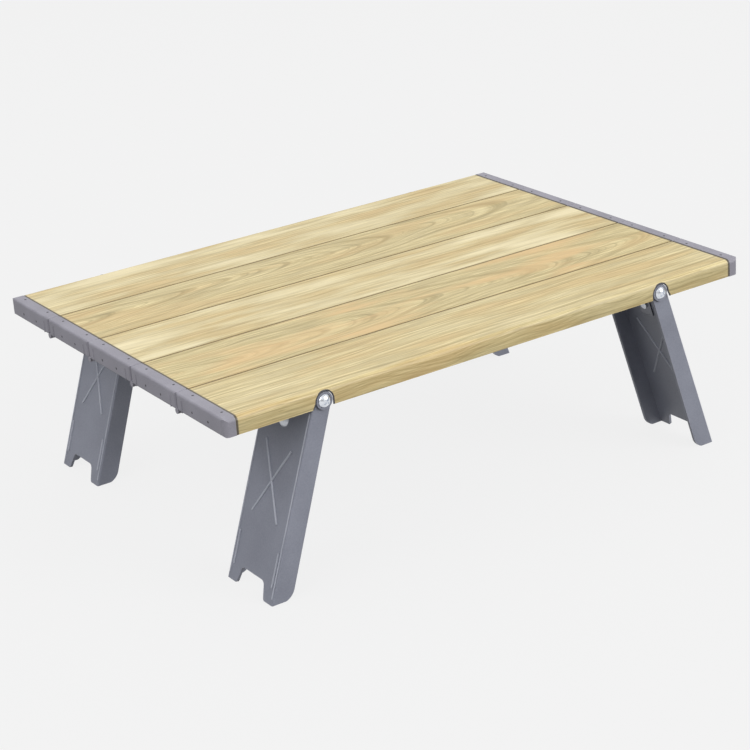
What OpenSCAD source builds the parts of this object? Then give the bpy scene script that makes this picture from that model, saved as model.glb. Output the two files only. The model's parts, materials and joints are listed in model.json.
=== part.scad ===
// Folding side table: five hinged slats that roll up into a tube round four folding legs.
// The origin is on the ground under the middle of the tabletop. X runs along the slats,
// Y runs from the front edge to the back edge, and Z points up.

/* [Tabletop] */
// Overall length, over the end caps
table_l = 400; // [350:1:600]
// Height of the tabletop above the ground
table_h = 129; // [108:1:160]

/* [Slats] */
// Width of one slat
slat_w = 55.8; // [50:0.1:70]
// Height of one slat
slat_h = 11.5; // [11:0.1:14]
// Gap between neighbouring slats
slat_gap = 0.6; // [0.6:0.1:1.2]
// Thickness of a slat's side walls
slat_wall = 1.0; // [0.8:0.1:1.4]
// Thickness of a slat's top plate
slat_top = 1.1; // [0.8:0.1:1.6]
// Rounding along the table's front and back edges
edge_r = 3.2; // [2:0.1:4]
// Rounding along the edges between slats
seam_r = 0.7; // [0.3:0.1:1]

/* [End caps] */
// Length of a cap that shows beyond its slat
cap_l = 8; // [7:0.1:14]
// Length of the plug that goes inside the slat
plug_l = 12; // [6:0.5:18]
// Wall thickness of the plug
plug_wall = 1.8; // [1.2:0.1:3]
// Clearance between the plug and the slat's inside
plug_gap = 0.05; // [0:0.01:0.2]
// How far a cap stands proud of its slat, above and below
cap_proud = 0.2; // [0.1:0.1:0.5]
// Rounding of the tabletop's four corners, seen from above
corner_r = 4; // [2:0.5:10]
// Rounding of a cap's corners at the seams, seen from above
cap_seam_r = 1.8; // [0.5:0.1:3]
// Rounding of a cap's upper end edge
cap_edge_r = 1.5; // [0.5:0.1:2.5]
// Rounding of a cap's lower end edge
cap_low_r = 2.2; // [0.5:0.1:3]
// Diameter of the small blind holes in a cap
dot_d = 1.8; // [1:0.1:2.4]
// Depth of the small blind holes
dot_depth = 1.0; // [0.5:0.1:2]

/* [Slat hinges] */
// Outer diameter of a hinge knuckle
knuckle_d = 3.8; // [3.4:0.1:5]
// Diameter of a hinge pin
hinge_pin_d = 2.0; // [1.5:0.1:2.4]
// Radial running clearance of a pin in the knuckle that turns on it
hinge_run = 0.05; // [0.02:0.01:0.1]
// Gap between the pieces of two slats that move past each other
hinge_gap = 0.3; // [0.2:0.05:0.5]
// Wall that closes a knuckle at the end face
pin_cover = 0.9; // [0.5:0.1:1.5]

/* [Legs] */
// Lean of an open leg from the vertical, in degrees
leg_tilt = 18.5; // [10:0.5:25]
// Gap between a leg and the slat's inner walls
leg_side_gap = 0.9; // [0.6:0.1:1.5]
// Gap between a leg's round head and the slat's top plate
leg_head_gap = 0.8; // [0.7:0.1:1.5]
// Radius of the round head on a leg's side walls
leg_head_r = 5.8; // [5:0.1:6]
// Distance from the pivot to the leg's outer face
leg_face = 6.3; // [6.1:0.1:7]
// Thickness of the leg's face
leg_face_t = 1.8; // [1.2:0.1:2.4]
// Thickness of the leg's side walls
leg_side_t = 2.0; // [1.4:0.1:2.6]
// How much deeper the side walls are at the foot than at the head
leg_deepen = 1.8; // [0:0.1:2.4]
// Distance from the pivot to the top edge of the leg's face
leg_face_top = 7.5; // [7:0.1:10]
// How far the boss on a leg's head stays behind the slat's side
boss_inset = 0.3; // [0.1:0.1:0.8]
// Rounding along the leg's long outer edges
leg_edge_r = 1.0; // [0.4:0.1:1.5]
// Gap between a folded leg's tip and the middle of the table
leg_tip_gap = 0.8; // [0.6:0.1:4]
// Rounding of the foot's free side
foot_r = 10; // [4:0.5:11]
// Width of the cut-out between the two toes, at its top
toe_gap_w = 25; // [16:0.5:28]
// Height of the cut-out between the two toes
toe_gap_h = 12; // [6:0.5:20]
// How much wider the cut-out is at the ground, on each side
toe_flare = 3.2; // [0:0.1:4]
// Rounding of the cut-out's upper corners
toe_gap_r = 3.5; // [1:0.5:6]
// Rounding of the toes
toe_r = 3.2; // [1:0.1:4]
// Height trimmed off the toes to make them flat on the ground
foot_trim = 0.5; // [0.2:0.1:1]
// Height of the cross moulded on the leg's face
cross_h = 46; // [30:1:60]
// Width of the cross
cross_w = 28; // [20:1:36]
// Distance from the pivot to the middle of the cross
cross_at = 59; // [50:1:70]
// Width of a moulded line
line_w = 0.9; // [0.5:0.1:1.5]
// Height of a moulded line
line_t = 0.3; // [0.2:0.1:0.5]

/* [Pivots] */
// Diameter of the pivot bolt
bolt_d = 4; // [3:0.1:4.5]
// Radial running clearance of a leg on its bolt
bolt_run = 0.05; // [0.02:0.01:0.1]
// Diameter of the bolt's domed head
bolt_head_d = 8.4; // [7:0.1:9]
// Height of the bolt's domed head
bolt_head_t = 2.2; // [1.6:0.1:3]
// Gap between the bolt's head and the leg
bolt_head_gap = 0.3; // [0.2:0.1:0.6]
// Size across the flats of the nut
nut_af = 7; // [5.5:0.1:7.5]
// Thickness of the nut
nut_t = 2.4; // [1.8:0.1:3.2]
// Length of the bracket's base plate
bracket_l = 26; // [20:1:30]
// Thickness of the bracket's base plate
bracket_t = 1.2; // [0.8:0.1:1.4]
// Thickness of the bracket's two ears
ear_t = 1.4; // [1:0.1:2]
// Radius of the ears round the bolt
ear_r = 4.2; // [3.5:0.1:4.5]
// Gap between an ear and the leg's side wall
ear_gap = 0.3; // [0.2:0.1:0.6]
// Thickness of the stop lip on the bracket
stop_t = 2; // [1.2:0.1:2.5]
// Gap between the stop lip and the leg's face when the leg is open
stop_gap = 0.3; // [0.2:0.05:0.5]
// Width of the stop lip
stop_w = 14; // [8:1:15]
// Gap round the leg's head in the slat's side wall
notch_gap = 0.6; // [0.4:0.1:1.2]
// Extra width of that gap at the bottom, on the side where the leg leans
notch_flare = 2.4; // [0:0.1:4]
// Diameter of the rivets that hold a bracket
bracket_rivet_d = 3; // [2:0.1:4]
// How far those rivets go into the top plate
bracket_rivet_in = 0.7; // [0.3:0.1:0.8]

/* [Detent springs] */
// Width of a leaf spring
spring_w = 12; // [8:1:18]
// Thickness of a leaf spring
spring_t = 0.8; // [0.5:0.1:1.2]
// Distance from the pivot to the rivet of the spring
rivet_at = 20; // [16:0.5:24]
// Diameter of the rivet's head
rivet_head_d = 9.5; // [6:0.5:11]
// Height of the rivet's head
rivet_head_t = 3; // [1.6:0.1:3.6]
// Diameter of the rivet's shank
rivet_d = 4; // [3:0.1:5]

/* [Hidden] */
$fn = 48;

// Slats are numbered from the back; the middle one is number 3.
middle = 3;
last = 5;
pitch = slat_w + slat_gap;
cap_h = slat_h + 2 * cap_proud;
cap_low = table_h - cap_h;
slat_low = cap_low + cap_proud;
slat_high = slat_low + slat_h;
end_x = table_l / 2;
slat_x = end_x - cap_l;

// Pivot line of the legs, and the leg's own lengths measured along it
pivot_z = slat_high - slat_top - leg_head_gap - leg_head_r;
leg_l = (pivot_z + leg_face * sin(leg_tilt) + foot_trim) / cos(leg_tilt);
pivot_x = leg_l + leg_tip_gap;
leg_w = slat_w - 2 * slat_wall - 2 * leg_side_gap;
side_in = leg_w / 2 - leg_side_t;
ear_out = side_in - ear_gap;
ear_in = ear_out - ear_t;
notch_r = leg_head_r + notch_gap;
boss_t = slat_wall + leg_side_gap - boss_inset;
boss_r = leg_head_r - 0.2;
plate_z = slat_high - slat_top - pivot_z;
rivet_x = bracket_l / 2 - 1.5 * bracket_rivet_d;
rivet_y = stop_w / 2 + 1.4 * bracket_rivet_d;

// Three knuckles share a cap's length on each hinge
knuckle_l = (cap_l - 3 * hinge_gap) / 3;
knuckle_step = knuckle_l + hinge_gap;
eps = 0.01;

leg_grey = [0.47, 0.47, 0.51];
cap_grey = [0.55, 0.54, 0.58];
steel = [0.78, 0.79, 0.81];
wood_tones = [
    [0.88, 0.81, 0.68], [0.85, 0.78, 0.61], [0.86, 0.80, 0.64], [0.87, 0.76, 0.60], [0.86, 0.79, 0.62]
];

function slat_y(i) = (middle - i) * pitch;
function unit(v) = v / norm(v);

// A polygon, listed anticlockwise, whose corners are rounded with true arcs; 0 leaves one sharp
module soft_polygon(points, radii) {
    count = len(points);
    difference() {
        polygon(points);
        for (i = [0 : count - 1])
            if (radii[i] > 0)
                corner_relief(
                    points[i],
                    unit(points[(i + count - 1) % count] - points[i]),
                    unit(points[(i + 1) % count] - points[i]),
                    radii[i]
                );
    }
}

// What a rounding takes off the corner at p, between the edges that run along a and b
module corner_relief(p, a, b, r) {
    half = acos(a * b) / 2;
    mid = unit(a + b);
    centre = p + mid * r / sin(half);
    reach = r / tan(half);
    difference() {
        polygon([p - mid * 0.1, p + a * reach, centre, p + b * reach]);
        translate(centre) circle(r);
    }
}

module along_x(from, to) {
    translate([from, 0, 0]) rotate([90, 0, 90]) linear_extrude(to - from) children();
}

module along_y(from, to) {
    translate([0, to, 0]) rotate([90, 0, 0]) linear_extrude(to - from) children();
}

module box(from, to) {
    translate(from) cube(to - from);
}

// Outline of a slat's section, drawn about the slat's middle
module slat_outline(i, low, high, inset, radius_less) {
    half = slat_w / 2 - inset;
    r_front = max((i == last ? edge_r : seam_r) - radius_less, 0);
    r_back = max((i == 1 ? edge_r : seam_r) - radius_less, 0);
    translate([slat_y(i), 0])
        soft_polygon(
            [[-half, low], [half, low], [half, high], [-half, high]],
            [0, 0, r_back, r_front]
        );
}

module slat(i) {
    color(wood_tones[i - 1])
    difference() {
        along_x(-slat_x, slat_x) slat_outline(i, slat_low, slat_high, 0, 0);
        along_x(-slat_x - 1, slat_x + 1)
            slat_outline(i, slat_low - 1, slat_high - slat_top, slat_wall, slat_top);
        if (i == 1 || i == last)
            for (end = [0, 1])
                mirror([end, 0, 0]) {
                    mirror([0, i == 1 ? 1 : 0, 0]) leg_notch();
                    translate([pivot_x, slat_y(i), 0]) bracket_rivet_holes();
                }
    }
}

// Gap in the front wall of the front slat, round the head of the right leg
module leg_notch() {
    wall_y = -(last - middle) * pitch - slat_w / 2;
    drop = pivot_z - slat_low + 1;
    translate([pivot_x, 0, pivot_z])
        along_y(wall_y - 1, wall_y + slat_wall + leg_side_gap) {
            circle(notch_r);
            polygon([
                [-notch_r, 0], [-notch_r, -drop], [notch_r + notch_flare, -drop], [notch_r, 0]
            ]);
        }
}

module bracket_rivet_holes() {
    at_bracket_rivets()
        cylinder(h = slat_top + bracket_rivet_in, d = bracket_rivet_d, center = true);
}

// Places its children on the top plate's underside, at the four rivets of a bracket
module at_bracket_rivets() {
    for (x = [-1, 1], y = [-1, 1])
        translate([x * rivet_x, y * rivet_y, slat_high - slat_top])
            children();
}

// Right-hand cap of slat i
module cap(i) {
    color(cap_grey)
    difference() {
        union() {
            cap_block(i);
            cap_plug(i);
            if (i > 1) hinge_knuckles(i, i - 1);
            if (i < last) hinge_knuckles(i, i + 1);
        }
        if (i > 1) hinge_cuts(i, i - 1);
        if (i < last) hinge_cuts(i, i + 1);
        cap_dots(i);
    }
}

module cap_block(i) {
    half = slat_w / 2;
    y = slat_y(i);
    intersection() {
        translate([0, 0, cap_low])
            linear_extrude(cap_h)
                soft_polygon(
                    [[slat_x, y - half], [end_x, y - half], [end_x, y + half], [slat_x, y + half]],
                    [0, i == last ? corner_r : cap_seam_r, i == 1 ? corner_r : cap_seam_r, 0]
                );
        along_x(slat_x, end_x + 1) slat_outline(i, cap_low, table_h, 0, 0);
        along_y(y - half - 1, y + half + 1)
            soft_polygon(
                [[slat_x, cap_low], [end_x, cap_low], [end_x, table_h], [slat_x, table_h]],
                [0, cap_low_r, cap_edge_r, 0]
            );
    }
}

module cap_plug(i) {
    inset = slat_wall + plug_gap;
    top = slat_high - slat_top - plug_gap;
    difference() {
        along_x(slat_x - plug_l, slat_x + eps) slat_outline(i, slat_low, top, inset, slat_top);
        along_x(slat_x - plug_l - 1, slat_x - plug_wall)
            slat_outline(i, slat_low - 1, top - plug_wall, inset + plug_wall, slat_top + plug_wall);
    }
}

module cap_dots(i) {
    y = slat_y(i);
    for (side = [-1, 1]) {
        translate([slat_x + 2.4, y + side * slat_w * 0.3, table_h - dot_depth])
            cylinder(h = dot_depth + 1, d = dot_d);
        translate([end_x - dot_depth, y + side * slat_w / 6, cap_low + cap_h * 0.4])
            rotate([0, 90, 0]) cylinder(h = dot_depth + 1, d = dot_d);
    }
}

// The slat nearer the middle carries the outer and inner knuckle of a hinge, and its neighbour the centre one
function is_inner(i, other) = abs(i - middle) < abs(other - middle);
function knuckle_slots(inner) = inner ? [0, 2] : [1];
function knuckle_high(slot) = end_x - slot * knuckle_step;

module hinge_knuckles(i, other) {
    for (slot = knuckle_slots(is_inner(i, other)))
        at_hinge(i, other, knuckle_high(slot) - knuckle_l)
            cylinder(h = knuckle_l, d = knuckle_d);
}

// Room for the neighbour's knuckles, and the bore for the pin
module hinge_cuts(i, other) {
    inner = is_inner(i, other);
    bore_d = hinge_pin_d + (inner ? 0 : 2 * hinge_run);
    for (slot = knuckle_slots(!inner))
        at_hinge(i, other, knuckle_high(slot) - knuckle_l - hinge_gap)
            cylinder(h = knuckle_l + 2 * hinge_gap, d = knuckle_d + 2 * hinge_gap);
    at_hinge(i, other, slat_x - 1)
        cylinder(h = cap_l + 1 - pin_cover, d = bore_d);
}

module at_hinge(i, other, x) {
    translate([x, (slat_y(i) + slat_y(other)) / 2, cap_low]) rotate([0, 90, 0]) children();
}

module hinge_pins(i, other) {
    color(steel)
    for (end = [0, 1])
        mirror([end, 0, 0])
            at_hinge(i, other, slat_x + hinge_gap)
                cylinder(h = cap_l - hinge_gap - pin_cover, d = hinge_pin_d);
}

// Puts a piece drawn about the pivot of the front right leg at any of the four legs
module at_pivot(left, back) {
    mirror([left, 0, 0])
        mirror([0, back, 0])
            translate([pivot_x, slat_y(last), pivot_z]) children();
}

// Turns a piece drawn on a hanging leg to the lean of an open one
module lean() {
    rotate([0, -leg_tilt, 0]) children();
}

// A leg hangs down from its pivot, with its face on the outer side and its side walls turned inwards
module leg() {
    above = 2 * leg_head_r;
    color(leg_grey)
    difference() {
        lean() {
            difference() {
                union() {
                    intersection() {
                        along_y(-leg_w, leg_w) leg_side();
                        along_x(-2 * leg_face, 2 * leg_face) leg_front();
                        translate([0, 0, -leg_l - 2]) linear_extrude(leg_l + above) leg_section();
                    }
                    along_y(-leg_w / 2 - boss_t, -side_in - leg_side_t / 2) circle(boss_r);
                }
                box([-3 * leg_head_r, -side_in, -leg_l - 1], [leg_face - leg_face_t, side_in, above]);
                box([-leg_head_r, -side_in, -leg_face_top], [leg_face + 1, side_in, above]);
                rotate([90, 0, 0])
                    cylinder(h = leg_w + 2 * boss_t + 2, d = bolt_d + 2 * bolt_run, center = true);
                translate([leg_face - leg_face_t - 1, 0, -rivet_at])
                    rotate([0, 90, 0]) cylinder(h = leg_face_t + 2, d = rivet_d);
            }
            leg_lines();
        }
        box([-leg_l, -leg_w, -pivot_z - leg_l], [leg_l, leg_w, -pivot_z]);
    }
}

// Side view of a leg: round head, straight face, a side wall that deepens towards the foot,
// and a foot that follows the ground and is rounded on its free side
module leg_side() {
    beyond = leg_face + 1;
    free = -leg_head_r - leg_deepen;
    circle(leg_head_r);
    soft_polygon(
        [
            [free, -leg_l + (leg_face - free) * tan(leg_tilt)], [beyond, -leg_l - tan(leg_tilt)],
            [beyond, -leg_face_top * (beyond - leg_head_r) / (leg_face - leg_head_r)],
            [leg_head_r, 0], [-leg_head_r, 0]
        ],
        [foot_r, 0, 0, 0, 0]
    );
}

// Front view of a leg, with the cut-out that leaves two toes
module leg_front() {
    cut = toe_gap_w / 2;
    spread = toe_flare / toe_gap_h;
    below = 1;
    wide = cut + toe_flare + below * spread;
    difference() {
        translate([-leg_w, -leg_l - 2 * below]) square([2 * leg_w, leg_l + 3 * leg_head_r]);
        soft_polygon(
            [
                [-cut, toe_gap_h - leg_l], [-wide, -leg_l - below], [-wide, -leg_l - 3 * below],
                [wide, -leg_l - 3 * below], [wide, -leg_l - below], [cut, toe_gap_h - leg_l]
            ],
            [toe_gap_r, 0, 0, 0, 0, toe_gap_r]
        );
        for (side = [0, 1])
            mirror([side, 0])
                corner_relief([cut + toe_flare, -leg_l], [1, 0], unit([-spread, 1]), toe_r);
    }
}

// Section across a leg, with rounded long edges on the face
module leg_section() {
    half = leg_w / 2;
    deep = 3 * leg_head_r;
    soft_polygon(
        [[-deep, -half], [leg_face, -half], [leg_face, half], [-deep, half]],
        [0, leg_edge_r, leg_edge_r, 0]
    );
}

// Thin lines moulded on the leg's face: a cross on both sides of it, and a bead beside each outer toe
module leg_lines() {
    bar = norm([cross_w, cross_h]);
    turn = atan(cross_w / cross_h);
    for (x = [leg_face, leg_face - leg_face_t], side = [-1, 1])
        translate([x, 0, -cross_at])
            rotate([side * turn, 0, 0]) cube([2 * line_t, line_w, bar], center = true);
    for (side = [-1, 1])
        translate([leg_face, side * (leg_w / 2 - 4), 22 - leg_l])
            cube([2 * line_t, line_w, 22], center = true);
}

// Steel bracket under the top plate, with two ears on the bolt and a lip that stops the open leg
module bracket() {
    stop_low = -leg_face_top * cos(leg_tilt) + leg_face * sin(leg_tilt) + stop_gap;
    stop_x = leg_face * cos(leg_tilt) + leg_face_top * sin(leg_tilt) - stop_t / 2;
    color(steel)
    difference() {
        union() {
            box([-bracket_l / 2, -ear_out, plate_z - bracket_t], [bracket_l / 2, ear_out, plate_z]);
            box([stop_x, -stop_w / 2, stop_low], [stop_x + stop_t, stop_w / 2, plate_z]);
            for (y = [-ear_out, ear_in])
                along_y(y, y + ear_t) {
                    circle(ear_r);
                    translate([-ear_r, 0]) square([2 * ear_r, plate_z]);
                }
        }
        rotate([90, 0, 0]) cylinder(h = 3 * ear_out, d = bolt_d, center = true);
        translate([0, 0, slat_top - slat_high + plate_z]) at_bracket_rivets()
            cylinder(h = 4 * bracket_t, d = bracket_rivet_d, center = true);
    }
}

module bracket_rivets() {
    color(steel)
    translate([0, 0, slat_top - slat_high + plate_z]) at_bracket_rivets() {
        translate([0, 0, -bracket_t])
            cylinder(h = bracket_t + (bracket_rivet_in + slat_top) / 2, d = bracket_rivet_d);
        translate([0, 0, -bracket_t]) mirror([0, 0, 1]) dome(bracket_rivet_d * 1.8, 1.3);
    }
}

// Low dome on a flat base, d across and t high
module dome(d, t) {
    r = (d * d / 4 + t * t) / (2 * t);
    rotate_extrude()
        intersection() {
            translate([0, t - r]) circle(r, $fn = 96);
            square([d / 2, t]);
        }
}

// Bolt along the pivot: domed head outside the leg, tip inside the leg's inner side wall
module pivot_bolt() {
    head_y = leg_w / 2 + boss_t + bolt_head_gap;
    color(steel)
    difference() {
        union() {
            translate([0, -head_y, 0]) rotate([90, 0, 0]) dome(bolt_head_d, bolt_head_t);
            translate([0, -head_y, 0]) rotate([-90, 0, 0])
                cylinder(h = head_y + leg_w / 2 - 0.4, d = bolt_d);
        }
        for (turn = [45, 135])
            translate([0, -head_y - bolt_head_t, 0]) rotate([0, turn, 0])
                cube([bolt_head_d * 0.55, bolt_head_t, 1], center = true);
    }
}

module nut() {
    color(steel)
    along_y(ear_in - nut_t, ear_in)
        difference() {
            rotate(30) circle(d = nut_af / cos(30), $fn = 6);
            circle(d = bolt_d);
        }
}

// Leaf spring on the inside of the leg's face, with its free end turned towards the bolt
module leaf_spring() {
    inside = leg_face - leg_face_t;
    tip = -leg_face_top - 1;
    color(steel)
    lean()
        difference() {
            along_y(-spring_w / 2, spring_w / 2)
                polygon([
                    [inside - spring_t, -rivet_at - 8], [inside, -rivet_at - 8], [inside, tip - 1],
                    [inside - 1.5, tip + 1.6], [inside - 1.5 - spring_t, tip + 1.3],
                    [inside - spring_t, tip - 1.2]
                ]);
            translate([inside, 0, -rivet_at]) rotate([0, 90, 0])
                cylinder(h = 4, d = rivet_d, center = true);
        }
}

module spring_rivet() {
    inside = leg_face - leg_face_t - spring_t;
    color(steel)
    lean()
        translate([0, 0, -rivet_at]) rotate([0, 90, 0]) {
            translate([0, 0, inside - 1.2]) cylinder(h = leg_face - inside + 1.2, d = rivet_d);
            translate([0, 0, inside - 1.2]) cylinder(h = 1.2, d = rivet_d * 1.5);
            translate([0, 0, leg_face]) dome(rivet_head_d, rivet_head_t);
        }
}

slat(1);  // slat_1
slat(2);  // slat_2
slat(3);  // slat_3
slat(4);  // slat_4
slat(5);  // slat_5
mirror([1, 0, 0]) cap(1);  // left_cap_1
mirror([1, 0, 0]) cap(2);  // left_cap_2
mirror([1, 0, 0]) cap(3);  // left_cap_3
mirror([1, 0, 0]) cap(4);  // left_cap_4
mirror([1, 0, 0]) cap(5);  // left_cap_5
cap(1);  // right_cap_1
cap(2);  // right_cap_2
cap(3);  // right_cap_3
cap(4);  // right_cap_4
cap(5);  // right_cap_5
hinge_pins(1, 2);  // hinge_pins_12
hinge_pins(2, 3);  // hinge_pins_23
hinge_pins(3, 4);  // hinge_pins_34
hinge_pins(4, 5);  // hinge_pins_45
at_pivot(1, 0) leg();  // front_left_leg
at_pivot(0, 0) leg();  // front_right_leg
at_pivot(1, 1) leg();  // back_left_leg
at_pivot(0, 1) leg();  // back_right_leg
at_pivot(1, 0) bracket();  // front_left_bracket
at_pivot(0, 0) bracket();  // front_right_bracket
at_pivot(1, 1) bracket();  // back_left_bracket
at_pivot(0, 1) bracket();  // back_right_bracket
at_pivot(1, 0) bracket_rivets();  // front_left_bracket_rivets
at_pivot(0, 0) bracket_rivets();  // front_right_bracket_rivets
at_pivot(1, 1) bracket_rivets();  // back_left_bracket_rivets
at_pivot(0, 1) bracket_rivets();  // back_right_bracket_rivets
at_pivot(1, 0) pivot_bolt();  // front_left_pivot_bolt
at_pivot(0, 0) pivot_bolt();  // front_right_pivot_bolt
at_pivot(1, 1) pivot_bolt();  // back_left_pivot_bolt
at_pivot(0, 1) pivot_bolt();  // back_right_pivot_bolt
at_pivot(1, 0) nut();  // front_left_nut
at_pivot(0, 0) nut();  // front_right_nut
at_pivot(1, 1) nut();  // back_left_nut
at_pivot(0, 1) nut();  // back_right_nut
at_pivot(1, 0) leaf_spring();  // front_left_leaf_spring
at_pivot(0, 0) leaf_spring();  // front_right_leaf_spring
at_pivot(1, 1) leaf_spring();  // back_left_leaf_spring
at_pivot(0, 1) leaf_spring();  // back_right_leaf_spring
at_pivot(1, 0) spring_rivet();  // front_left_rivet
at_pivot(0, 0) spring_rivet();  // front_right_rivet
at_pivot(1, 1) spring_rivet();  // back_left_rivet
at_pivot(0, 1) spring_rivet();  // back_right_rivet
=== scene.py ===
import json
import math
import bpy
from mathutils import Matrix, Vector

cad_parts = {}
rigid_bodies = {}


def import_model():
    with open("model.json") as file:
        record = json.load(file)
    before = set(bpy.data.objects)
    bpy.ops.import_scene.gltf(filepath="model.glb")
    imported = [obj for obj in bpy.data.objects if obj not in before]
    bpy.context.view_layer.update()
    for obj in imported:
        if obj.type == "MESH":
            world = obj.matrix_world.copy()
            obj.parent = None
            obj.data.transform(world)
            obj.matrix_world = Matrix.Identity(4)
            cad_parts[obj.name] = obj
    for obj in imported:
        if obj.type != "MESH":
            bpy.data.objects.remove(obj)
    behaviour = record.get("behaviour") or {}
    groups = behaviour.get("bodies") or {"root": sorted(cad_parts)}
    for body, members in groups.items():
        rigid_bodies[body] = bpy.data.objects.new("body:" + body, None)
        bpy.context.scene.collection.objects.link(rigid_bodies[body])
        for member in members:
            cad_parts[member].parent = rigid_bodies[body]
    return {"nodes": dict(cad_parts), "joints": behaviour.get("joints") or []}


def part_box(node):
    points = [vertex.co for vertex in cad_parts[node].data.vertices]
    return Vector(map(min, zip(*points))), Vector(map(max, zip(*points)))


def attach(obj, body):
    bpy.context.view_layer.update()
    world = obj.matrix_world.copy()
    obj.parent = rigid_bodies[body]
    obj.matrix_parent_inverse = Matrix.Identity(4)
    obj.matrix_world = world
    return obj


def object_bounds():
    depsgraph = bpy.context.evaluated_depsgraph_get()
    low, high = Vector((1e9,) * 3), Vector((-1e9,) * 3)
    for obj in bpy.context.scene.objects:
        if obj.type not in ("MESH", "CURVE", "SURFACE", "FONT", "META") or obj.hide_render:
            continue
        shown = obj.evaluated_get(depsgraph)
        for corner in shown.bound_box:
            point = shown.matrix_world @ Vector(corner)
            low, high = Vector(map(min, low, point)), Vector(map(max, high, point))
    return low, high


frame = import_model()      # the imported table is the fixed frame, in metres
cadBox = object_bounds()

scene = bpy.context.scene
scene.view_settings.view_transform = "Standard"
mm = 0.001
slatNumbers = (1, 2, 3, 4, 5)      # 1 is the back slat


def linearColour(hexCode):      # sRGB hex to the linear values that Blender wants
    parts = [int(hexCode[i:i + 2], 16) / 255 for i in (1, 3, 5)]
    linear = [p / 12.92 if p <= 0.04045 else ((p + 0.055) / 1.055) ** 2.4 for p in parts]
    return (*linear, 1.0)


# One node with its settings, values and links. A node given as a value links its first output,
# and stops are (place, hex colour) pairs for a colour ramp.
def addNode(tree, kind, inputs=None, stops=None, **settings):
    node = tree.nodes.new(kind)
    for name, value in settings.items():
        setattr(node, name, value)
    for name, value in (inputs or {}).items():
        if isinstance(value, bpy.types.Node):
            value = value.outputs[0]
        if isinstance(value, bpy.types.NodeSocket):
            tree.links.new(value, node.inputs[name])
        else:
            node.inputs[name].default_value = value
    for i, (place, hexCode) in enumerate(stops or ()):
        ramp = node.color_ramp.elements
        point = ramp[i] if i < 2 else ramp.new(place)
        point.position, point.color = place, linearColour(hexCode)
    return node


def newMaterial(name):
    material = bpy.data.materials.new(name)
    material.use_nodes = True
    material.node_tree.nodes.clear()
    return material, material.node_tree


def awayFrom(azimuth, elevation):      # degrees; the direction from the table to a camera or lamp
    az, el = math.radians(azimuth), math.radians(elevation)
    return Vector((math.sin(az) * math.cos(el), -math.cos(az) * math.cos(el), math.sin(el)))


# The camera, floor and light. Angles follow the table's own axes.

cameraLook = {
    "azimuth": -33.08,                     # degrees; 0 looks along +Y
    "elevation": 22.13,                    # degrees above the horizon
    "roll": -3.87,                         # degrees
    "distance": 1.4247,                    # metres from the aim
    "aim": (-0.0046, -0.0021, 0.060),      # metres, close to the table's middle
    "lens": 100.41,                        # mm
    "sensor": 36,                          # mm
    "clip": (0.05, 50),                    # metres, nearest and farthest seen
}


def makeCamera(look):
    roll = math.radians(look["roll"])
    back = awayFrom(look["azimuth"], look["elevation"])
    right = (-back).cross(Vector((0, 0, 1))).normalized()
    up = right.cross(-back)
    turnedRight = right * math.cos(roll) + up * math.sin(roll)
    turnedUp = up * math.cos(roll) - right * math.sin(roll)
    data = bpy.data.cameras.new("camera")
    data.lens, data.sensor_width = look["lens"], look["sensor"]
    data.clip_start, data.clip_end = look["clip"]
    camera = bpy.data.objects.new("camera", data)
    scene.collection.objects.link(camera)
    turn = Matrix((turnedRight, turnedUp, back)).transposed().to_4x4()
    camera.matrix_world = Matrix.Translation(Vector(look["aim"]) + back * look["distance"]) @ turn
    scene.camera = camera


studio = {
    "paper": "#F1F1F1",      # the pale floor and what is behind it
    "floorSize": 16.0,       # metres across
    "shadow": 0.05,          # how much of the floor's tone comes from the lamps, so how dark a shadow is
    "skyColour": "#F3F3F5",
    "sky": 0.95,             # strength of the even light from above
    "under": "#27272A",      # what lights the undersides
    "fade": (-0.06, 0.40),   # sines of the heights between which the sky fades to that
}

# Soft boxes round the table: azimuth and elevation in degrees, distance and size in metres, watts
lamps = {
    "keyLight": {"azimuth": 26, "elevation": 28, "distance": 2.8, "size": 1.7, "power": 49.0},
    "fillLight": {"azimuth": -78, "elevation": 30, "distance": 1.8, "size": 1.4, "power": 10.5},
    "backLight": {"azimuth": 160, "elevation": 50, "distance": 1.7, "size": 1.2, "power": 4.0},
}


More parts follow.
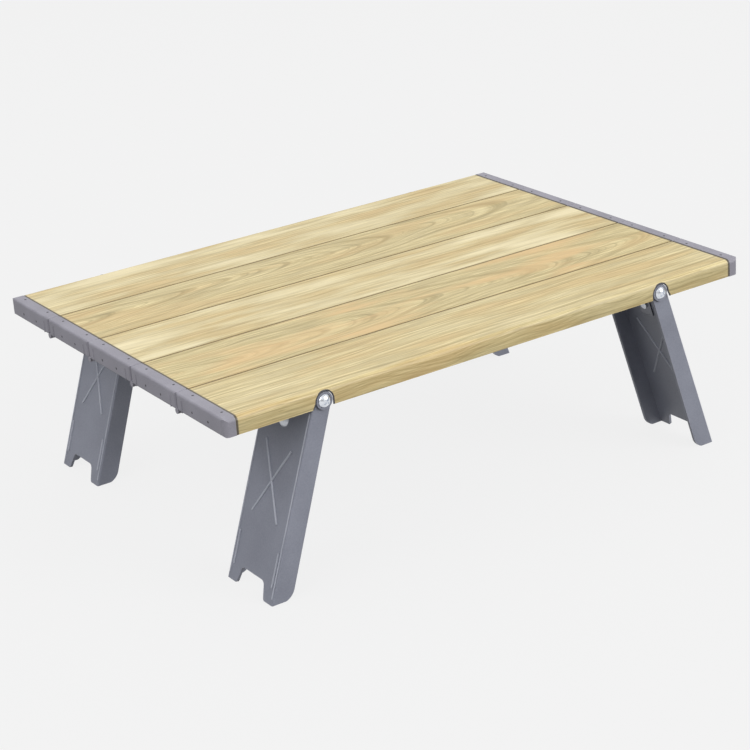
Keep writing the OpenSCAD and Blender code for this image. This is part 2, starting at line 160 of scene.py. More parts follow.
def makeStudio(look):
    world = bpy.data.worlds.new("studio")
    scene.world = world
    world.use_nodes = True
    tree = world.node_tree
    tree.nodes.clear()
    place = addNode(tree, "ShaderNodeTexCoord")
    height = addNode(tree, "ShaderNodeSeparateXYZ", {0: place.outputs["Generated"]})
    above = addNode(tree, "ShaderNodeMapRange",
                    {"Value": height.outputs["Z"], "From Min": look["fade"][0],
                     "From Max": look["fade"][1]})
    tone = addNode(tree, "ShaderNodeMix",
                   {0: above, 6: linearColour(look["under"]), 7: linearColour(look["skyColour"])},
                   data_type="RGBA")
    sky = addNode(tree, "ShaderNodeBackground", {"Color": tone.outputs[2], "Strength": look["sky"]})
    paper = addNode(tree, "ShaderNodeBackground", {"Color": linearColour(look["paper"]), "Strength": 1.0})
    seen = addNode(tree, "ShaderNodeLightPath")
    both = addNode(tree, "ShaderNodeMixShader", {0: seen.outputs["Is Camera Ray"], 1: sky, 2: paper})
    addNode(tree, "ShaderNodeOutputWorld", {"Surface": both})

    half = look["floorSize"] / 2
    mesh = bpy.data.meshes.new("floor")
    corners = [(-half, -half, 0), (half, -half, 0), (half, half, 0), (-half, half, 0)]
    mesh.from_pydata(corners, [], [(0, 1, 2, 3)])
    floor = bpy.data.objects.new("floor", mesh)
    scene.collection.objects.link(floor)
    floor.visible_diffuse = False      # the world's lower half lights the undersides instead
    material, tree = newMaterial("studioPaper")      # matt backdrop paper that glows almost evenly
    dull = addNode(tree, "ShaderNodeBsdfDiffuse", {"Color": linearColour(look["paper"])})
    glow = addNode(tree, "ShaderNodeEmission", {"Color": linearColour(look["paper"])})
    paper = addNode(tree, "ShaderNodeMixShader", {0: look["shadow"], 1: glow, 2: dull})
    addNode(tree, "ShaderNodeOutputMaterial", {"Surface": paper})
    mesh.materials.append(material)

    centre = (cadBox[0] + cadBox[1]) / 2
    for name, lamp in lamps.items():
        back = awayFrom(lamp["azimuth"], lamp["elevation"])
        data = bpy.data.lights.new(name, "AREA")
        data.size, data.energy = lamp["size"], lamp["power"]
        light = bpy.data.objects.new(name, data)
        scene.collection.objects.link(light)
        light.location = centre + back * lamp["distance"]
        light.rotation_mode = "QUATERNION"
        light.rotation_quaternion = (-back).to_track_quat("-Z", "Y")


makeCamera(cameraLook)
makeStudio(studio)
print("camera, floor and lights made")

# The slats: printed oak film on an aluminium channel

oakPrint = {
    "edgeRound": 3.2,        # mm, rounding of the tabletop's front and back edge
    "seamRound": 0.7,        # mm, rounding at the seams
    "filmDeep": 0.25,        # mm; a surface deeper in the section than this is bare metal
    "seamShade": 0.50,       # how dark the painted shade is where the print turns down into a seam
    "seamShadeAt": (1.4, 0.3),       # mm from the slat's side, where that shade starts and is full
    "seamShadowLine": 0.92,        # how dark the painted shadow line in the seam itself is
    "seamShadowLineAt": (0.55, 0.15),      # mm, the same for the painted shadow line of the seam
    "seamDeep": (2.8, 1.4),  # mm below the top, where the painted shade and the painted seam shadow end and where they are full
    "capShadowLine": 0.94,         # how dark the painted shadow line is where a slat meets its cap
    "capShadowLineAt": (1.9, 1.2),         # mm from the slat's end
    "swayLong": 95,          # mm, length of a slow bend in the rings
    "swayWide": 42,          # mm
    "fibreLong": 34.0,       # mm, length of a fibre streak
    "fibreWide": 0.9,        # mm; real fibres are finer, but would be lost in the render
    "bandLong": 55.0,        # mm, length of a darker streak
    "bandWide": 1.9,         # mm
    "zoneLong": 80,          # mm, length of a warmer or paler zone
    "zoneWide": 15,          # mm
    "poreLong": 9.0,         # mm
    "poreWide": 0.6,         # mm, drawn coarser than a real pore
    "roughness": 0.46,
    "bump": 0.03,            # mm, emboss of the film
    "seedSteps": (7.3, 3.1, 1.7),    # how far a seed moves the noise along each axis
}

# Each slat is cut from another part of the printed board. Sizes are in mm from the slat's middle:
# centre and depth place the heart of the tree, and tilt makes the rings run out into arches. ring is a
# ring's width, sway is how far rings bend, and warm and pale are how strong those zones are.
slatPrints = {
    1: {"centre": 62, "depth": 46, "tilt": 0.020, "ring": 2.1,
        "sway": 2.2, "seed": 3, "warm": 0.15, "pale": 0.55},
    2: {"centre": 9, "depth": 22, "tilt": 0.085, "ring": 2.3,
        "sway": 4.5, "seed": 11, "warm": 0.12, "pale": 0.05},
    3: {"centre": -48, "depth": 50, "tilt": 0.025, "ring": 2.3,
        "sway": 3.0, "seed": 23, "warm": 0.10, "pale": 0.60},
    4: {"centre": -3, "depth": 20, "tilt": 0.100, "ring": 2.5,
        "sway": 5.0, "seed": 37, "warm": 0.55, "pale": 0.00},
    5: {"centre": 58, "depth": 40, "tilt": 0.030, "ring": 2.2,
        "sway": 3.0, "seed": 51, "warm": 0.12, "pale": 0.20},
}
oakTones = {
    "dark": "#A8965F",       # late wood of a ring
    "mid": "#CBBA85",
    "light": "#DDCD98",
    "pale": "#E6DAB2",       # washed zones
    "warm": "#CFAE78",       # tan zones
    "line": "#8C7B46",       # thin olive lines between the rings; also the colour of the painted shade by a seam
    "fibre": "#B3AB94",      # multiplies the print along a dark fibre
    "plain": "#FFFFFF",      # and where there is none
    "seam": "#65522A",       # the painted shadow line in a seam
    "gap": "#39332A",        # and of the painted shadow line where a slat meets its cap
    "pore": "#8A7644",
    "metal": "#B9BBBE",
}


# PVC wood-grain film on extruded aluminium: a printed picture of flat-sawn oak under a satin skin,
# so the grain is soft, nearly flat to the touch and shines evenly. Inside, the channel is bare metal.
def oakFilm(number):
    look, cut = oakPrint, slatPrints[number]
    low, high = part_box(f"slat_{number}")
    middle = (low + high) / 2
    material, tree = newMaterial(f"oakFilm{number}")
    place = addNode(tree, "ShaderNodeTexCoord")
    inMm = addNode(tree, "ShaderNodeMapping",      # mm from the middle of the slat's top
                   {0: place.outputs["Object"], "Scale": (1000,) * 3,
                    "Location": (-middle.x * 1000, -middle.y * 1000, -high.z * 1000)})
    seed = [cut["seed"] * step for step in look["seedSteps"]]

    swayPlace = addNode(tree, "ShaderNodeMapping",
                        {0: inMm, "Location": seed,
                         "Scale": (1 / look["swayLong"], 1 / look["swayWide"], 1 / look["swayWide"])})
    sway = addNode(tree, "ShaderNodeTexNoise",
                   {"Vector": swayPlace, "Scale": 1.0, "Detail": 2.0, "Roughness": 0.45})
    swayBy = addNode(tree, "ShaderNodeMapRange",
                     {"Value": sway, "From Min": 0.3, "From Max": 0.7,
                      "To Min": -cut["sway"], "To Max": cut["sway"]},
                     clamp=False)
    axes = addNode(tree, "ShaderNodeSeparateXYZ", {0: inMm})
    across = addNode(tree, "ShaderNodeMath", {0: axes.outputs["Y"], 1: -cut["centre"]}, operation="ADD")
    across = addNode(tree, "ShaderNodeMath", {0: across, 1: swayBy}, operation="ADD")
    deep = addNode(tree, "ShaderNodeMath", {0: axes.outputs["X"], 1: cut["tilt"], 2: cut["depth"]},
                   operation="MULTIPLY_ADD")
    deep = addNode(tree, "ShaderNodeMath", {0: deep, 1: axes.outputs["Z"]}, operation="SUBTRACT")
    spot = addNode(tree, "ShaderNodeCombineXYZ", {"X": across, "Y": deep})
    radius = addNode(tree, "ShaderNodeVectorMath", {0: spot}, operation="LENGTH").outputs["Value"]
    rings = addNode(tree, "ShaderNodeMath", {0: radius, 1: 1 / cut["ring"], 2: cut["seed"]},
                    operation="MULTIPLY_ADD")
    growth = addNode(tree, "ShaderNodeTexNoise",
                     {"W": rings, "Scale": 1.0, "Detail": 3.5, "Roughness": 0.68}, noise_dimensions="1D")
    grain = addNode(tree, "ShaderNodeValToRGB", {0: growth},
                    stops=[(0.30, oakTones["dark"]), (0.62, oakTones["light"]), (0.45, oakTones["mid"])])

    thread = addNode(tree, "ShaderNodeTexNoise",
                     {"W": rings, "Scale": 3.7, "Detail": 1.0, "Roughness": 0.5}, noise_dimensions="1D")
    isThread = addNode(tree, "ShaderNodeMapRange",
                       {"Value": thread, "From Min": 0.58, "From Max": 0.74, "To Max": 0.50})
    threaded = addNode(tree, "ShaderNodeMix", {0: isThread, 6: grain, 7: linearColour(oakTones["line"])},
                       data_type="RGBA")

    fibrePlace = addNode(tree, "ShaderNodeMapping",
                         {0: inMm, "Location": seed,
                          "Scale": (1 / look["fibreLong"], 1 / look["fibreWide"], 1 / look["fibreWide"])})
    fibre = addNode(tree, "ShaderNodeTexNoise",
                    {"Vector": fibrePlace, "Scale": 1.0, "Detail": 3.0, "Roughness": 0.6})
    fibreTone = addNode(tree, "ShaderNodeValToRGB", {0: fibre},
                        stops=[(0.34, oakTones["fibre"]), (0.64, oakTones["plain"])])
    streaked = addNode(tree, "ShaderNodeMix", {0: 0.75, 6: threaded.outputs[2], 7: fibreTone},
                       data_type="RGBA", blend_type="MULTIPLY")

    bandPlace = addNode(tree, "ShaderNodeMapping",
                        {0: inMm, "Location": seed,
                         "Scale": (1 / look["bandLong"], 1 / look["bandWide"], 1 / look["bandWide"])})
    band = addNode(tree, "ShaderNodeTexNoise",
                   {"Vector": bandPlace, "Scale": 1.0, "Detail": 4.0, "Roughness": 0.7, "Distortion": 0.8})
    isBand = addNode(tree, "ShaderNodeMapRange",
                     {"Value": band, "From Min": 0.48, "From Max": 0.68, "To Max": 0.62})
    banded = addNode(tree, "ShaderNodeMix",
                     {0: isBand, 6: streaked.outputs[2], 7: linearColour(oakTones["line"])},
                     data_type="RGBA")

    zonePlace = addNode(tree, "ShaderNodeMapping",
                        {0: inMm, "Location": seed,
                         "Scale": (1 / look["zoneLong"], 1 / look["zoneWide"], 1 / look["zoneWide"])})
    zone = addNode(tree, "ShaderNodeTexNoise",
                   {"Vector": zonePlace, "Scale": 1.0, "Detail": 2.0, "Roughness": 0.5})
    isWarm = addNode(tree, "ShaderNodeMapRange",
                     {"Value": zone, "From Min": 0.46, "From Max": 0.68, "To Max": cut["warm"] + 0.25})
    isPale = addNode(tree, "ShaderNodeMapRange",
                     {"Value": zone, "From Min": 0.60, "From Max": 0.30, "To Max": cut["pale"] + 0.10})
    warmed = addNode(tree, "ShaderNodeMix",
                     {0: isWarm, 6: banded.outputs[2], 7: linearColour(oakTones["warm"])},
                     data_type="RGBA")
    washed = addNode(tree, "ShaderNodeMix",
                     {0: isPale, 6: warmed.outputs[2], 7: linearColour(oakTones["pale"])},
                     data_type="RGBA")

    porePlace = addNode(tree, "ShaderNodeMapping",
                        {0: inMm, "Location": seed,
                         "Scale": (1 / look["poreLong"], 1 / look["poreWide"], 1 / look["poreWide"])})
    pores = addNode(tree, "ShaderNodeTexNoise", {"Vector": porePlace, "Scale": 1.0, "Detail": 1.0})
    isPore = addNode(tree, "ShaderNodeMapRange",
                     {"Value": pores, "From Min": 0.66, "From Max": 0.80, "To Max": 0.5})
    poreBits = addNode(tree, "ShaderNodeMix",
                       {0: isPore, 6: washed.outputs[2], 7: linearColour(oakTones["pore"])},
                       data_type="RGBA")

    # how far inside the section's rounded outline a point is; the film is only on the outline
    halfWide, halfLong = (high.y - low.y) / 2 / mm, (high.x - low.x) / 2 / mm
    freeSide = {1: 1, 5: -1}.get(number, 0)      # where this slat has the tabletop's own edge
    fromMiddle = addNode(tree, "ShaderNodeMath", {0: axes.outputs["Y"]}, operation="ABSOLUTE")
    towardsFree = addNode(tree, "ShaderNodeMath", {0: axes.outputs["Y"], 1: freeSide}, operation="MULTIPLY")
    isFree = addNode(tree, "ShaderNodeMath", {0: towardsFree, 1: 0.001}, operation="GREATER_THAN")
    rounding = addNode(tree, "ShaderNodeMath",
                       {0: isFree, 1: look["edgeRound"] - look["seamRound"], 2: look["seamRound"]},
                       operation="MULTIPLY_ADD")
    sideways = addNode(tree, "ShaderNodeMath", {0: fromMiddle, 1: -halfWide}, operation="ADD")
    sideways = addNode(tree, "ShaderNodeMath", {0: sideways, 1: rounding}, operation="ADD")
    upwards = addNode(tree, "ShaderNodeMath", {0: axes.outputs["Z"], 1: rounding}, operation="ADD")
    corner = addNode(tree, "ShaderNodeCombineXYZ", {"X": sideways, "Y": upwards})
    corner = addNode(tree, "ShaderNodeVectorMath", {0: corner, 1: (0, 0, 0)}, operation="MAXIMUM")
    outer = addNode(tree, "ShaderNodeVectorMath", {0: corner}, operation="LENGTH").outputs["Value"]
    inner = addNode(tree, "ShaderNodeMath", {0: sideways, 1: upwards}, operation="MAXIMUM")
    inner = addNode(tree, "ShaderNodeMath", {0: inner, 1: 0.0}, operation="MINIMUM")
    depth = addNode(tree, "ShaderNodeMath", {0: outer, 1: inner}, operation="ADD")
    depth = addNode(tree, "ShaderNodeMath", {0: rounding, 1: depth}, operation="SUBTRACT")
    inside = addNode(tree, "ShaderNodeMath", {0: depth, 1: look["filmDeep"]}, operation="GREATER_THAN")

    # painted shade: the print is darkened where it turns down into a seam, with a painted shadow line in
    # the seam itself and beside the caps
    seamward = addNode(tree, "ShaderNodeMath", {0: isFree, 1: -halfWide, 2: fromMiddle},
                       operation="MULTIPLY_ADD")
    isShade = addNode(tree, "ShaderNodeMapRange",
                      {"Value": seamward, "From Min": halfWide - look["seamShadeAt"][0],
                       "From Max": halfWide - look["seamShadeAt"][1],
                       "To Max": look["seamShade"]})
    isSeamShadowLine = addNode(tree, "ShaderNodeMapRange",
                     {"Value": seamward, "From Min": halfWide - look["seamShadowLineAt"][0],
                      "From Max": halfWide - look["seamShadowLineAt"][1],
                      "To Max": look["seamShadowLine"]})
    lengthways = addNode(tree, "ShaderNodeMath", {0: axes.outputs["X"]}, operation="ABSOLUTE")
    isCapShadowLine = addNode(tree, "ShaderNodeMapRange",
                        {"Value": lengthways, "From Min": halfLong - look["capShadowLineAt"][0],
                         "From Max": halfLong - look["capShadowLineAt"][1],
                         "To Max": look["capShadowLine"]})
    nearTop = addNode(tree, "ShaderNodeMapRange",
                      {"Value": axes.outputs["Z"], "From Min": -look["seamDeep"][0],
                       "From Max": -look["seamDeep"][1]})
    isShade = addNode(tree, "ShaderNodeMath", {0: isShade, 1: nearTop}, operation="MULTIPLY")
    isSeamShadowLine = addNode(tree, "ShaderNodeMath", {0: isSeamShadowLine, 1: nearTop}, operation="MULTIPLY")
    # painted shade where the print turns down into a seam
    shaded = addNode(tree, "ShaderNodeMix",
                     {0: isShade, 6: poreBits.outputs[2], 7: linearColour(oakTones["line"])},
                     data_type="RGBA")
    # painted shadow line in the seam gap
    seamShadowed = addNode(tree, "ShaderNodeMix",
                     {0: isSeamShadowLine, 6: shaded.outputs[2], 7: linearColour(oakTones["seam"])},
                     data_type="RGBA")
    # painted shadow line on the print where the slat meets its cap
    darker = addNode(tree, "ShaderNodeMix",
                     {0: isCapShadowLine, 6: seamShadowed.outputs[2], 7: linearColour(oakTones["gap"])},
                     data_type="RGBA")
    colour = addNode(tree, "ShaderNodeMix",
                     {0: inside, 6: darker.outputs[2], 7: linearColour(oakTones["metal"])},
                     data_type="RGBA")
    satin = addNode(tree, "ShaderNodeMapRange",
                    {"Value": fibre, "From Min": 0.3, "From Max": 0.7,
                     "To Min": look["roughness"] - 0.06, "To Max": look["roughness"] + 0.06})
    emboss = addNode(tree, "ShaderNodeBump",
                     {"Height": fibre, "Distance": look["bump"] * mm, "Strength": 0.6})
    film = addNode(tree, "ShaderNodeBsdfPrincipled",
                   {"Base Color": colour.outputs[2], "Metallic": inside, "Roughness": satin,
                    "Normal": emboss, "IOR": 1.5, "Coat Weight": 0.12, "Coat Roughness": 0.35})
    addNode(tree, "ShaderNodeOutputMaterial", {"Surface": film})
    return material


for number in slatNumbers:
    slat = frame["nodes"][f"slat_{number}"]
    slat.data.materials.clear()
    slat.data.materials.append(oakFilm(number))
print("oak film on", len(slatNumbers), "slats")

# Moulded plastic and plated steel

edgeHighlightTone = "#B4B3BB"      # a paler tone painted along plastic edges as a painted highlight
plastics = {      # grit, cloud and bump are in mm
    "capPlastic": {"base": "#7F7D86", "light": "#918F98",
        "grit": 0.8, "cloud": 22, "roughness": 0.56, "bump": 0.05},
    "legPlastic": {"base": "#787B87", "light": "#898C98",
        "grit": 1.0, "cloud": 34, "roughness": 0.44, "bump": 0.025},
    # paler than legPlastic: a painted highlight on the legs' raised beads
    "beadPlastic": {"base": "#9DA1AC", "light": "#B2B5BF",
        "grit": 1.0, "cloud": 30, "roughness": 0.42, "bump": 0.02},
    # near-black, for painted shade: domes in the caps' blind holes and beads round the legs' heads
    "shadeDarkPlastic": {"base": "#26252A", "light": "#37353B",
        "grit": 0.5, "cloud": 6, "roughness": 0.5, "bump": 0.02},
}


# Injection-moulded ABS from a spark-eroded mould: an even fine grit that scatters the light, soft clouds
# where the melt flowed, and a painted highlight that makes the edges a little paler. The grit is drawn at
# about 1 mm so that it shows.
def mouldedAbs(name):
    look = plastics[name]
    material, tree = newMaterial(name)
    place = addNode(tree, "ShaderNodeTexCoord")
    inMm = addNode(tree, "ShaderNodeMapping", {0: place.outputs["Object"], "Scale": (1000,) * 3})
    cloud = addNode(tree, "ShaderNodeTexNoise",
                    {"Vector": inMm, "Scale": 1 / look["cloud"], "Detail": 3.0, "Roughness": 0.55})
    grit = addNode(tree, "ShaderNodeTexNoise",
                   {"Vector": inMm, "Scale": 1 / look["grit"], "Detail": 2.0, "Roughness": 0.6})
    both = addNode(tree, "ShaderNodeMix", {0: 0.4, 2: cloud, 3: grit})
    tone = addNode(tree, "ShaderNodeValToRGB", {0: both},
                   stops=[(0.36, look["base"]), (0.66, look["light"])])
    edge = addNode(tree, "ShaderNodeBevel", {"Radius": 0.7 * mm}, samples=4)
    flat = addNode(tree, "ShaderNodeNewGeometry")
    turned = addNode(tree, "ShaderNodeVectorMath", {0: edge, 1: flat.outputs["Normal"]},
                     operation="DOT_PRODUCT")
    # painted highlight: edges found by the bevel are mixed towards a paler tone
    isEdge = addNode(tree, "ShaderNodeMapRange",
                     {"Value": turned.outputs["Value"], "From Min": 0.98, "From Max": 0.80, "To Max": 0.30})
    edgeHighlighted = addNode(tree, "ShaderNodeMix", {0: isEdge, 6: tone, 7: linearColour(edgeHighlightTone)},
                     data_type="RGBA")
    dull = addNode(tree, "ShaderNodeMapRange",
                   {"Value": cloud, "From Min": 0.3, "From Max": 0.7,
                    "To Min": look["roughness"] - 0.05, "To Max": look["roughness"] + 0.07})
    relief = addNode(tree, "ShaderNodeBump",
                     {"Height": grit, "Distance": look["bump"] * mm, "Strength": 0.7})
    skin = addNode(tree, "ShaderNodeBsdfPrincipled",
                   {"Base Color": edgeHighlighted.outputs[2], "Roughness": dull, "Normal": relief, "IOR": 1.54})
    addNode(tree, "ShaderNodeOutputMaterial", {"Surface": skin})
    return material


steels = {      # spangle is in mm, and stretch is how much longer the spangles are along X
    "brightZinc": {"base": "#D2D7DF", "light": "#EEF1F6",
        "spangle": 2.5, "roughness": 0.22, "stretch": 1},
    "stampedZinc": {"base": "#A9ACB1", "light": "#C6C9CD",
        "spangle": 1.6, "roughness": 0.38, "stretch": 8},
    "springSteel": {"base": "#56575C", "light": "#6A6B71",
        "spangle": 1.2, "roughness": 0.34, "stretch": 10},
}


# Zinc-plated steel: a thin bluish-white plating over turned or rolled metal, bright with faint cloudy
# spangles, and fine lines along X where the sheet was rolled
def platedSteel(name):
    look = steels[name]
    material, tree = newMaterial(name)
    place = addNode(tree, "ShaderNodeTexCoord")
    inMm = addNode(tree, "ShaderNodeMapping",
                   {0: place.outputs["Object"], "Scale": (1000 / look["stretch"], 1000, 1000)})
    spangle = addNode(tree, "ShaderNodeTexNoise",
                      {"Vector": inMm, "Scale": 1 / look["spangle"], "Detail": 3.0, "Roughness": 0.6})
    tone = addNode(tree, "ShaderNodeValToRGB", {0: spangle},
                   stops=[(0.3, look["base"]), (0.7, look["light"])])
    gloss = addNode(tree, "ShaderNodeMapRange",
                    {"Value": spangle, "From Min": 0.3, "From Max": 0.7,
                     "To Min": look["roughness"] - 0.06, "To Max": look["roughness"] + 0.08})
    relief = addNode(tree, "ShaderNodeBump", {"Height": spangle, "Distance": 0.012 * mm, "Strength": 0.5})
    plating = addNode(tree, "ShaderNodeBsdfPrincipled",
                      {"Base Color": tone, "Metallic": 1.0, "Roughness": gloss, "Normal": relief})
    addNode(tree, "ShaderNodeOutputMaterial", {"Surface": plating})
    return material


capPlastic = mouldedAbs("capPlastic")
legPlastic = mouldedAbs("legPlastic")
beadPlastic = mouldedAbs("beadPlastic")
shadeDarkPlastic = mouldedAbs("shadeDarkPlastic")
brightZinc = platedSteel("brightZinc")
stampedZinc = platedSteel("stampedZinc")
springSteel = platedSteel("springSteel")
finishOf = {      # end of a node's name and its material
    "_leg": legPlastic, "_bracket": stampedZinc, "_bracket_rivets": brightZinc, "_pivot_bolt": brightZinc,
    "_nut": brightZinc, "_leaf_spring": springSteel, "_rivet": stampedZinc,
}
for name, node in frame["nodes"].items():
    if "_cap_" in name:
        finish = capPlastic
    elif name.startswith("hinge_pins"):
        finish = brightZinc
    else:
        finish = next((m for ending, m in finishOf.items() if name.endswith(ending)), None)
    if finish:
        node.data.materials.clear()
        node.data.materials.append(finish)
print("plastic and steel finishes set")


# Pieces made with Geometry Nodes: beads that follow a path, and pins that repeat. Each is turned into
# a plain mesh on its own body. This starts a tree and gives it back with the sockets that feed it.
def newGeometryTree(name, inputs):      # inputs are (name, socket kind) pairs
    tree = bpy.data.node_groups.new(name, "GeometryNodeTree")
    tree.interface.new_socket("Geometry", in_out="OUTPUT", socket_type="NodeSocketGeometry")
    tree.interface.new_socket("Geometry", in_out="INPUT", socket_type="NodeSocketGeometry")
    for label, kind in inputs:
        tree.interface.new_socket(label, in_out="INPUT", socket_type=kind)
    return tree, addNode(tree, "NodeGroupInput").outputs


# A half-buried round bead along every edge of the input, thinner towards its two ends
def makeBeadTree():
    tree, given = newGeometryTree("beads", [
        ("Radius", "NodeSocketFloat"), ("Step", "NodeSocketFloat"), ("Sides", "NodeSocketInt"),
        ("Finish", "NodeSocketMaterial")])
    path = addNode(tree, "GeometryNodeMeshToCurve", {"Mesh": given["Geometry"]})
    even = addNode(tree, "GeometryNodeResampleCurve", {"Curve": path, "Length": given["Step"]},
                   mode="LENGTH")
    along = addNode(tree, "GeometryNodeSplineParameter")
    fromMiddle = addNode(tree, "ShaderNodeMath", {0: along, 1: 0.5}, operation="SUBTRACT")
    fromMiddle = addNode(tree, "ShaderNodeMath", {0: fromMiddle}, operation="ABSOLUTE")
    taper = addNode(tree, "ShaderNodeMapRange",
                    {"Value": fromMiddle, "From Min": 0.5, "From Max": 0.44, "To Min": 0.25, "To Max": 1.0})
    thick = addNode(tree, "GeometryNodeSetCurveRadius", {"Curve": even, "Radius": taper})
    ring = addNode(tree, "GeometryNodeCurvePrimitiveCircle",
                   {"Resolution": given["Sides"], "Radius": given["Radius"]})
    bead = addNode(tree, "GeometryNodeCurveToMesh",
                   {"Curve": thick, "Profile Curve": ring, "Fill Caps": True})
    smooth = addNode(tree, "GeometryNodeSetShadeSmooth", {"Geometry": bead})
    single = addNode(tree, "GeometryNodeRealizeInstances", {"Geometry": smooth})
    finished = addNode(tree, "GeometryNodeSetMaterial", {"Geometry": single, "Material": given["Finish"]})
    addNode(tree, "NodeGroupOutput", {"Geometry": finished})
    return tree


# A low domed pin on every point of the input, turned to the direction stored in "facing"
def makePinTree():
    tree, given = newGeometryTree("pins", [
        ("Radius", "NodeSocketFloat"), ("Dome", "NodeSocketFloat"), ("Seed", "NodeSocketInt"),
        ("Finish", "NodeSocketMaterial")])
    ball = addNode(tree, "GeometryNodeMeshUVSphere",
                   {"Segments": 12, "Rings": 6, "Radius": given["Radius"]})
    flatness = addNode(tree, "ShaderNodeCombineXYZ", {"X": 1.0, "Y": 1.0, "Z": given["Dome"]})
    dome = addNode(tree, "GeometryNodeTransform", {"Geometry": ball, "Scale": flatness})
    facing = addNode(tree, "GeometryNodeInputNamedAttribute", {"Name": "facing"},
                     data_type="FLOAT_VECTOR")
    turn = addNode(tree, "FunctionNodeAlignRotationToVector", {"Vector": facing}, axis="Z")
    size = addNode(tree, "FunctionNodeRandomValue", {2: 0.94, 3: 1.0, "Seed": given["Seed"]},
                   data_type="FLOAT")
    pins = addNode(tree, "GeometryNodeInstanceOnPoints",
                   {"Points": given["Geometry"], "Instance": dome, "Rotation": turn,
                    "Scale": size.outputs[1]})
    single = addNode(tree, "GeometryNodeRealizeInstances", {"Geometry": pins})
    smooth = addNode(tree, "GeometryNodeSetShadeSmooth", {"Geometry": single})
    finished = addNode(tree, "GeometryNodeSetMaterial", {"Geometry": smooth, "Material": given["Finish"]})
    addNode(tree, "NodeGroupOutput", {"Geometry": finished})
    return tree


def pairUp(points):      # an edge between every two points in turn
    return [(i, i + 1) for i in range(0, len(points), 2)]


# One plain mesh from a tree and its guide points, edges and facings, given to a body and a material slot
def growPiece(name, points, edges, facings, tree, values, body):
    mesh = bpy.data.meshes.new(name + "Guide")
    mesh.from_pydata(points, edges, [])
    if facings:
        facing = mesh.attributes.new("facing", "FLOAT_VECTOR", "POINT")
        for i, direction in enumerate(facings):
            facing.data[i].vector = direction
    guide = bpy.data.objects.new(name + "Guide", mesh)
    scene.collection.objects.link(guide)
    maker = guide.modifiers.new("maker", "NODES")
    maker.node_group = tree
    for item in tree.interface.items_tree:
        if item.in_out == "INPUT" and item.name in values:
            maker[item.identifier] = values[item.name]
    grown = bpy.data.meshes.new_from_object(guide.evaluated_get(bpy.context.evaluated_depsgraph_get()))
    bpy.data.objects.remove(guide)
    grown.name = name
    grown.materials.clear()
    grown.materials.append(values["Finish"])
    piece = bpy.data.objects.new(name, grown)
    scene.collection.objects.link(piece)
    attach(piece, body)


beadTree, pinTree = makeBeadTree(), makePinTree()

# Raised beads on each leg, in a paler plastic as a painted highlight: down the two long edges of its outer
# face, over the cross on both sides of the face, and beside the toes. Lengths in mm from the pivot, in the
# leg's own frame; lean is in degrees.
legEdges = {
    "lean": 18.5,
    "face": 6.3,             # from the pivot to the outer face
    "inset": 1.7,            # from the leg's side to the bead
    "top": 9.0,              # from the pivot to the bead's upper end
    "aboveGround": 4.0,      # of the bead's lower end
    "radius": 0.5,           # of a bead along an edge
    "step": 3,               # between a bead's rings
    "sides": 12,
    "faceThick": 1.8,        # of the leg's face
    "cross": (36, 82),       # from the pivot to the cross's upper and lower ends
    "crossHalf": 14,         # half its width
    "ribRadius": 0.80,       # of a bead on the cross or beside a toe
    "toes": (32.5, 10.5),    # height of a toe bead's two ends, along the leg
    "toeInset": 4.0,         # from the leg's side to a toe bead
}


def addLegBeads(look):
    lean = math.radians(look["lean"])
    for joint in frame["joints"]:
        if not joint["name"].startswith("leg_fold_"):
            continue
        leg = joint["name"].removeprefix("leg_fold_")
        low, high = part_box(f"{leg}_leg")
        pivot = Vector(joint["pos_m"])
        outwards = 1 if pivot.x > 0 else -1
        half = high.y - pivot.y if "front" in leg else pivot.y - low.y      # the side without the boss
        down = Vector((outwards * math.sin(lean), 0, -math.cos(lean)))
        out = Vector((outwards * math.cos(lean), 0, math.sin(lean)))
        ground = (pivot.z + out.z * look["face"] * mm - low.z) / math.cos(lean)

        def spot(distance, y, off):
            place = pivot + out * off * mm + down * distance
            return (place.x, pivot.y + y, place.z)

        edges, ribs = [], []
        for way in (-1, 1):
            y = way * (half - look["inset"] * mm)
            edges += [spot(look["top"] * mm, y, look["face"]),
                      spot(ground - look["aboveGround"] * mm, y, look["face"])]
            y = way * (half - look["toeInset"] * mm)
            ribs += [spot(ground - height * mm, y, look["face"]) for height in look["toes"]]
            for off in (look["face"], look["face"] - look["faceThick"]):
                y = way * look["crossHalf"] * mm
                ribs += [spot(look["cross"][0] * mm, -y, off), spot(look["cross"][1] * mm, y, off)]
        kinds = (("edge_beads", edges, look["radius"]), ("face_ribs", ribs, look["ribRadius"]))
        for name, points, radius in kinds:
            # beadPlastic is paler than the leg, a painted highlight along the beads
            growPiece(f"{leg}_{name}", points, pairUp(points), None, beadTree,
                      {"Radius": radius * mm, "Step": look["step"] * mm, "Sides": look["sides"],
                       "Finish": beadPlastic},
                      f"leg_{leg}")


# Small details on the caps, in mm: near-black domes filling the dots' blind holes as painted shade for the
# holes, and short ribs beside the seams on the end faces
capDetails = {
    "pinRadius": 1.0,
    "pinDome": 0.4,          # height of a pin's dome over its radius
    "pinDeep": 0.2,          # of the pin's middle below the surface
    "topFrom": 2.4,          # from the cap's inner edge to the dots on top
    "topSpread": 0.3,        # of a slat's width, from its middle
    "endSpread": 1 / 6,      # the same for the dots on the end face
    "endHeight": 0.4,        # of the cap's height
    "ribFrom": 6.5,          # from a seam to its ribs
    "ribHeight": (0.06, 0.72),      # of the cap's height
    "ribRadius": 0.32,
    "ribStep": 1,            # between a rib's rings
    "ribSides": 10,
}


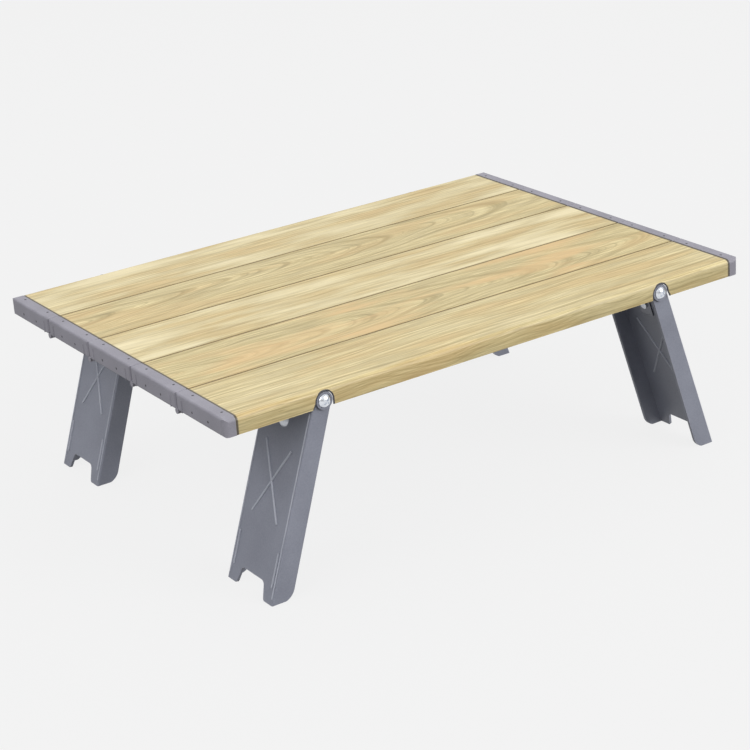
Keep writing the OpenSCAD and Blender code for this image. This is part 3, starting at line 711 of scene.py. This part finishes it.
def addCapDetails(look):
    for number in slatNumbers:
        pins, facings, ribs = [], [], []
        slatLow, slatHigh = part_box(f"slat_{number}")
        wide = slatHigh.y - slatLow.y
        middleY = (slatHigh.y + slatLow.y) / 2
        for side, outwards in (("left", -1), ("right", 1)):
            endX = cadBox[1].x if outwards > 0 else cadBox[0].x
            topX = (slatHigh.x if outwards > 0 else slatLow.x) + outwards * look["topFrom"] * mm
            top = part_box(f"{side}_cap_{number}")[1].z
            bottom = slatLow.z - (top - slatHigh.z)
            tall = top - bottom
            for way in (-1, 1):
                pins.append((topX, middleY + way * look["topSpread"] * wide, top - look["pinDeep"] * mm))
                facings.append((0, 0, 1))
                pins.append((endX - outwards * look["pinDeep"] * mm,
                             middleY + way * look["endSpread"] * wide,
                             bottom + look["endHeight"] * tall))
                facings.append((outwards, 0, 0))
                if (number, way) in ((1, 1), (5, -1)):
                    continue      # no seam on that side
                ribY = middleY + way * (wide / 2 - look["ribFrom"] * mm)
                ribs += [(endX, ribY, bottom + part * tall) for part in look["ribHeight"]]
        # painted shade: near-black domes fill the blind holes of the dots
        growPiece(f"cap_pins_{number}", pins, [], facings, pinTree,
                  {"Radius": look["pinRadius"] * mm, "Dome": look["pinDome"], "Seed": number,
                   "Finish": shadeDarkPlastic},
                  f"panel_{number}")
        growPiece(f"cap_ribs_{number}", ribs, pairUp(ribs), None, beadTree,
                  {"Radius": look["ribRadius"] * mm, "Step": look["ribStep"] * mm,
                   "Sides": look["ribSides"], "Finish": capPlastic},
                  f"panel_{number}")


# Painted shadow round each leg's head: a thin near-black bead on the slat's side wall, where the notch
# round the head is in shade
notchShadowBead = {
    "round": 6.45,           # mm, radius round the pivot
    "flare": 2.4,            # mm that the outer side is wider by, at flareDrop below the pivot
    "flareDrop": 4.8,
    "behind": 0.4,           # mm, of the bead's middle behind the slat's side
    "radius": 0.55,          # mm, of the bead
    "step": 0.7,             # mm between its rings
    "sides": 10,
    "arcSteps": 20,          # straight steps in the half circle
}


def addNotchShadowBeads(look):
    for number, front in ((1, False), (5, True)):
        slatLow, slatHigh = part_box(f"slat_{number}")
        sideY = slatLow.y + look["behind"] * mm if front else slatHigh.y - look["behind"] * mm
        points, edges = [], []
        for joint in frame["joints"]:
            if joint["name"].startswith("leg_fold_") and joint["parent"] == f"panel_{number}":
                pivot = Vector(joint["pos_m"])
                outwards = 1 if pivot.x > 0 else -1
                drop = (pivot.z - slatLow.z) / mm
                path = [(-look["round"], -drop)]
                for i in range(look["arcSteps"] + 1):
                    turn = math.pi * i / look["arcSteps"]
                    path.append((-look["round"] * math.cos(turn), look["round"] * math.sin(turn)))
                path.append((look["round"] + look["flare"] * drop / look["flareDrop"], -drop))
                edges += [(len(points) + i, len(points) + i + 1) for i in range(len(path) - 1)]
                points += [(pivot.x + outwards * x * mm, sideY, pivot.z + z * mm) for x, z in path]
        # painted shadow: a near-black bead round the notch
        growPiece(f"notch_rims_{number}", points, edges, None, beadTree,
                  {"Radius": look["radius"] * mm, "Step": look["step"] * mm, "Sides": look["sides"],
                   "Finish": shadeDarkPlastic},
                  f"panel_{number}")


addLegBeads(legEdges)
addNotchShadowBeads(notchShadowBead)
addCapDetails(capDetails)
print("beads, pins and ribs made")
